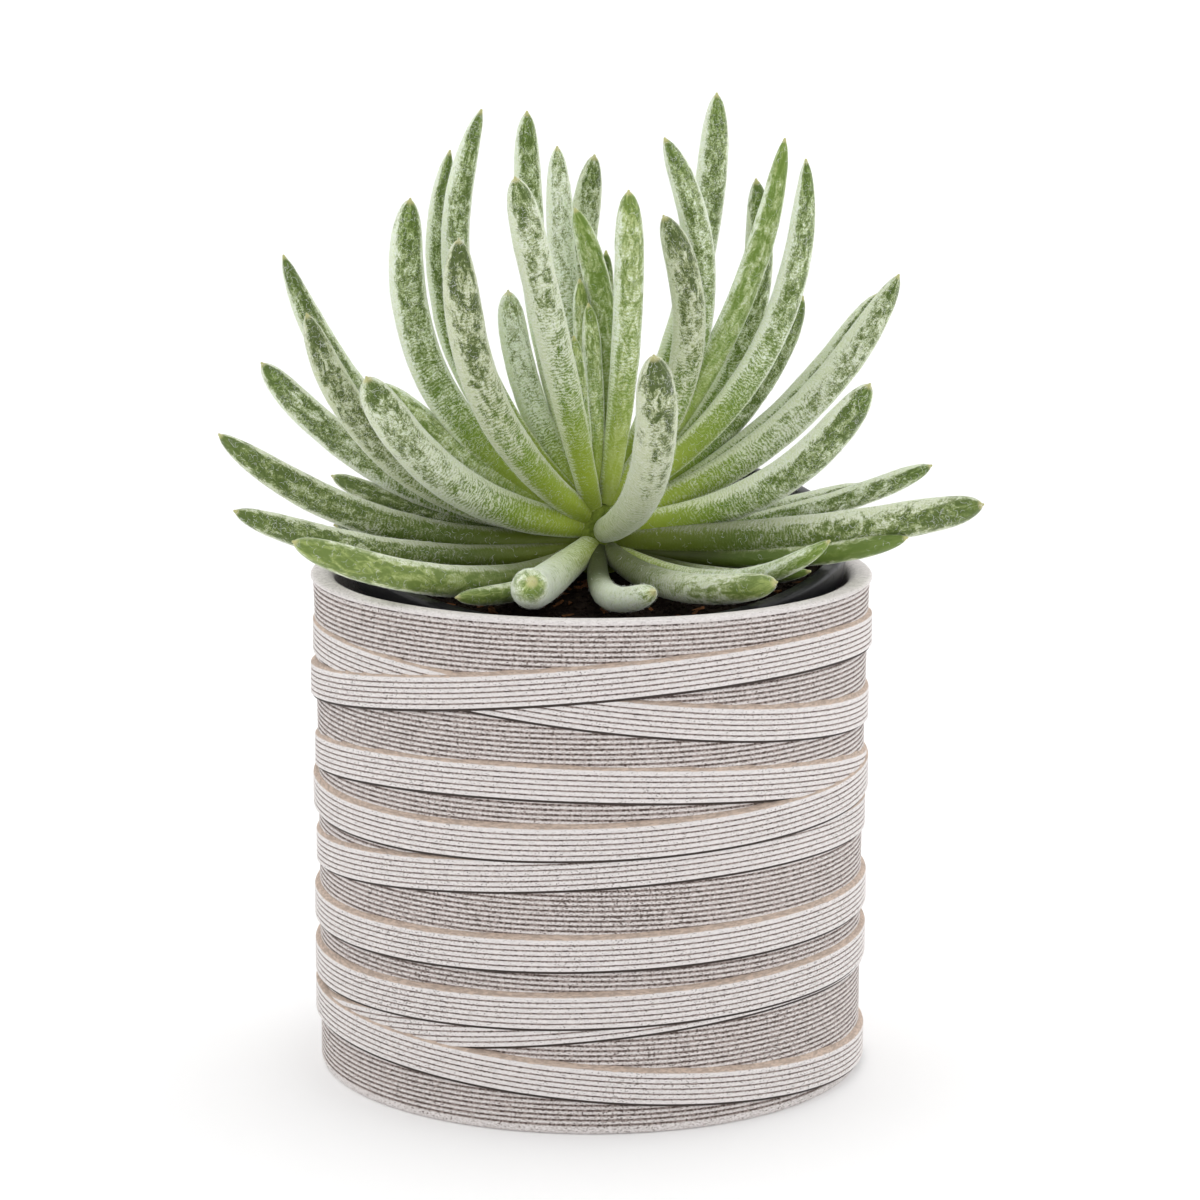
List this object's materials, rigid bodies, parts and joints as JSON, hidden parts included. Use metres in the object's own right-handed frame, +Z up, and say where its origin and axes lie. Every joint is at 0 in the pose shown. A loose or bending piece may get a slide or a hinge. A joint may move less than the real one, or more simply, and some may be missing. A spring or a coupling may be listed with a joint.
{
  "type": "potted senecio scaposus",
  "caption": "Rosette of long felted finger leaves in a nursery pot, leaning inside a round grooved cover pot wrapped in tilted ridged bands.",
  "frame": {"origin": "middle of the cover pot's flat base, on the surface it stands on", "axes": "+Z up, +Y away from the front, +X to the right as seen from the front"},
  "size_m": [0.1706, 0.134, 0.2241],
  "materials": {
    "whitewash": "matt cast ware with rubbed white wash",
    "black_plastic": "satin moulded plastic",
    "potting_mix": "rough, damp crumbs and bark",
    "felted_leaf": "fleshy, under a pale felt of fine hairs"
  },
  "bodies": {
    "root": {"cachepot": "whitewash", "nursery_pot": "black_plastic", "soil": "potting_mix", "rosette": "felted_leaf"}
  },
  "joints": []
}
